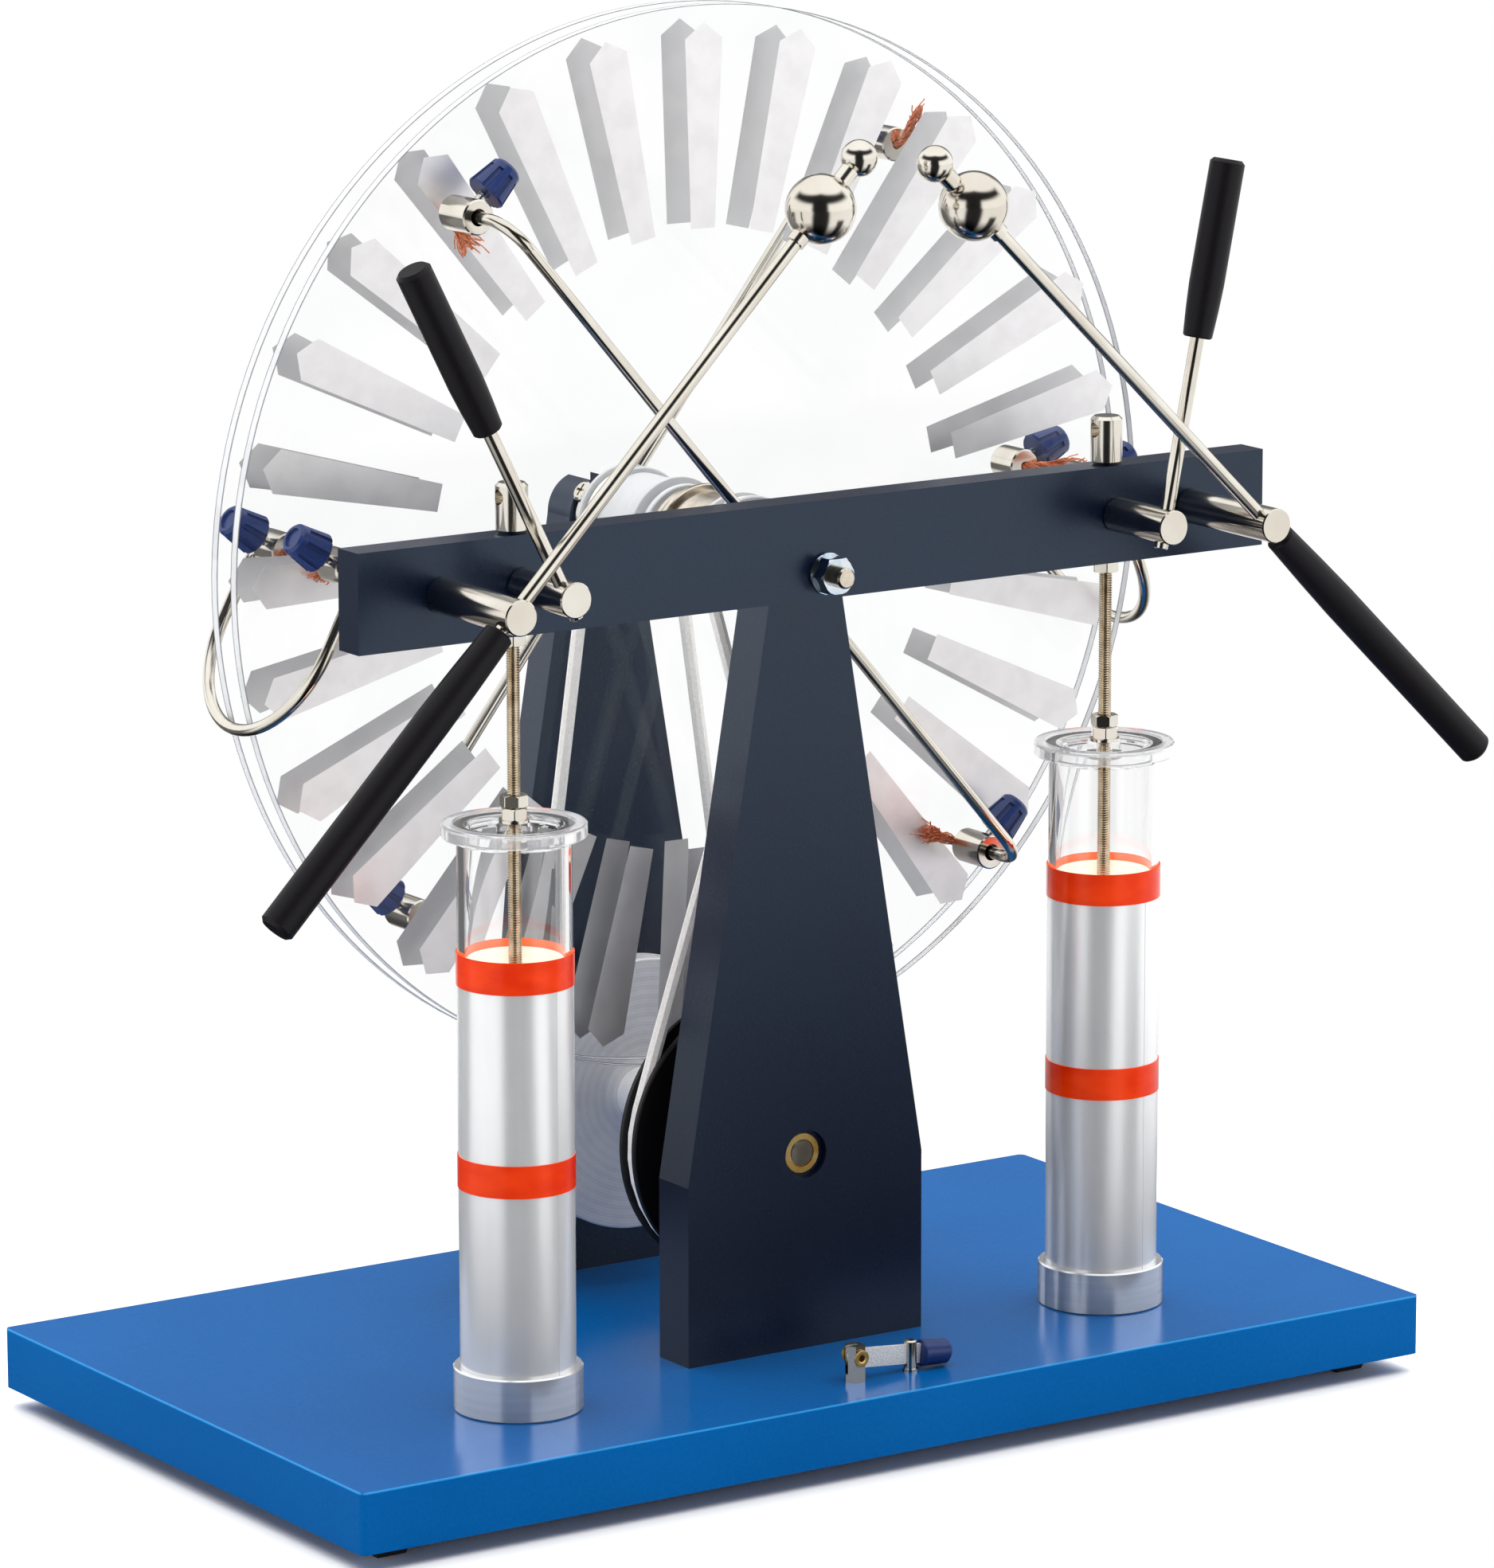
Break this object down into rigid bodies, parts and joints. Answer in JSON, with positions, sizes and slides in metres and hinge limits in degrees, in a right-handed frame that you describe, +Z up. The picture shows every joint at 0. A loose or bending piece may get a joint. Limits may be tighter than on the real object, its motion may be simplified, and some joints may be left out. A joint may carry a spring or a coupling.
{
  "type": "wimshurst machine",
  "caption": "Hand-cranked electrostatic generator: clear discs with foil sectors turn opposite ways on a board and charge two jars and a pair of spark balls.",
  "frame": {"origin": "on the table, under the centre of the base board", "axes": "+X to the right along the front edge of the board, +Y to the back where the crank is, +Z up"},
  "size_m": [0.4092, 0.2309, 0.4022],
  "materials": {
    "blue_enamel": "metallic blue, fine orange peel",
    "anthracite": "satin anthracite powder coat",
    "black_rubber": "matte",
    "nickel": "polished nickel plate",
    "zinc": "zinc plated",
    "satin_steel": "satin turned",
    "brass": "turned",
    "ivory_cord": "matte",
    "turned_aluminium": "turned",
    "black_aluminium": "black anodised, bright rim",
    "clear_acrylic": "polished clear acrylic",
    "bright_foil": "bright foil",
    "jar_foil": "brushed foil with upright streaks",
    "orange_tape": "glossy",
    "frosted_nylon": "frosted",
    "blue_plastic": "semi-gloss",
    "copper": "bare copper braid",
    "black_plastic": "matte"
  },
  "bodies": {
    "stand": {"base_board": "blue_enamel", "rubber_feet": "black_rubber", "front_upright": "anthracite", "rear_upright": "anthracite", "frame_screws": "zinc", "cross_beam": "anthracite", "conductor_nuts": "zinc", "main_axle": "satin_steel", "axle_nuts_and_washers": "zinc", "shaft_bushes": "brass", "front_belt": "ivory_cord", "rear_belt": "ivory_cord", "jar_cups": "satin_steel", "jar_tubes": "clear_acrylic", "jar_foils": "jar_foil", "jar_tape_bands": "orange_tape", "jar_lids": "clear_acrylic", "jar_rods": "satin_steel", "jar_nuts": "zinc", "terminals": "nickel", "collector_rods": "nickel", "collector_holders": "nickel", "collector_knobs": "blue_plastic", "collector_brushes": "copper", "switch_posts": "nickel", "switch_pivot": "brass"},
    "crank": {"drive_shaft": "satin_steel", "front_drive_pulley": "black_aluminium", "rear_drive_pulley": "turned_aluminium", "crank_arm": "satin_steel", "crank_screws": "zinc"},
    "crank_knob": {"crank_handle": "black_plastic"},
    "front_wheel": {"front_disc": "clear_acrylic", "front_sectors": "bright_foil", "front_hub": "satin_steel", "front_hub_pulley": "frosted_nylon"},
    "rear_wheel": {"rear_disc": "clear_acrylic", "rear_sectors": "bright_foil", "rear_hub": "frosted_nylon", "rear_hub_pulley": "frosted_nylon"},
    "front_neutraliser": {"front_neutral_collar": "nickel", "front_neutral_rod": "nickel", "front_neutral_holders": "nickel", "front_neutral_knobs": "blue_plastic", "front_neutral_brushes": "copper"},
    "rear_neutraliser": {"rear_neutral_collar": "nickel", "rear_neutral_rod": "nickel", "rear_neutral_holders": "nickel", "rear_neutral_knobs": "blue_plastic", "rear_neutral_brushes": "copper"},
    "left_electrode_arm": {"left_electrode": "nickel", "left_electrode_handle": "black_plastic"},
    "right_electrode_arm": {"right_electrode": "nickel", "right_electrode_handle": "black_plastic"},
    "left_jar_lever": {"left_lever": "nickel", "left_lever_handle": "black_plastic"},
    "right_jar_lever": {"right_lever": "nickel", "right_lever_handle": "black_plastic"},
    "switch_knife": {"switch_blade": "satin_steel", "switch_knob": "blue_plastic"}
  },
  "joints": [
    {"name": "crank_spin", "type": "hinge", "parent": "stand", "child": "crank", "pos_m": [0, 0.075, 0.0798], "axis": [0, -1, 0], "continuous": true},
    {"name": "crank_handle_spin", "type": "hinge", "parent": "crank", "child": "crank_knob", "pos_m": [0, 0.1, 0.0338], "axis": [0, -1, 0], "continuous": true},
    {"name": "front_disc_spin", "type": "hinge", "parent": "stand", "child": "front_wheel", "pos_m": [0, 0.00845, 0.2492], "axis": [0, -1, 0], "continuous": true},
    {"name": "rear_disc_spin", "type": "hinge", "parent": "stand", "child": "rear_wheel", "pos_m": [0, 0.01905, 0.2492], "axis": [0, -1, 0], "continuous": true},
    {"name": "front_neutraliser_swing", "type": "hinge", "parent": "stand", "child": "front_neutraliser", "pos_m": [0, -0.0278, 0.2492], "axis": [0, -1, 0], "range_deg": [-25, 18]},
    {"name": "rear_neutraliser_swing", "type": "hinge", "parent": "stand", "child": "rear_neutraliser", "pos_m": [0, 0.0536, 0.2492], "axis": [0, -1, 0], "range_deg": [-18, 20]},
    {"name": "left_electrode_swing", "type": "hinge", "parent": "stand", "child": "left_electrode_arm", "pos_m": [-0.126, -0.0768, 0.2561], "axis": [0, -1, 0], "range_deg": [-4.5, 40]},
    {"name": "right_electrode_swing", "type": "hinge", "parent": "stand", "child": "right_electrode_arm", "pos_m": [0.126, -0.0768, 0.2561], "axis": [0, 1, 0], "range_deg": [-2.8, 40]},
    {"name": "left_lever_swing", "type": "hinge", "parent": "stand", "child": "left_jar_lever", "pos_m": [-0.1, -0.0708, 0.2561], "axis": [0, -1, 0], "range_deg": [-70, 45]},
    {"name": "right_lever_swing", "type": "hinge", "parent": "stand", "child": "right_jar_lever", "pos_m": [0.1, -0.0708, 0.2561], "axis": [0, 1, 0], "range_deg": [-56, 60]},
    {"name": "knife_switch_swing", "type": "hinge", "parent": "stand", "child": "switch_knife", "pos_m": [-0.0078, -0.0827, 0.0302], "axis": [0, -1, 0], "range_deg": [0, 100]}
  ],
  "couplings": [
    {"joint": "front_disc_spin", "follows": "crank_spin", "ratio": -2.7143},
    {"joint": "rear_disc_spin", "follows": "crank_spin", "ratio": 2.7143}
  ]
}
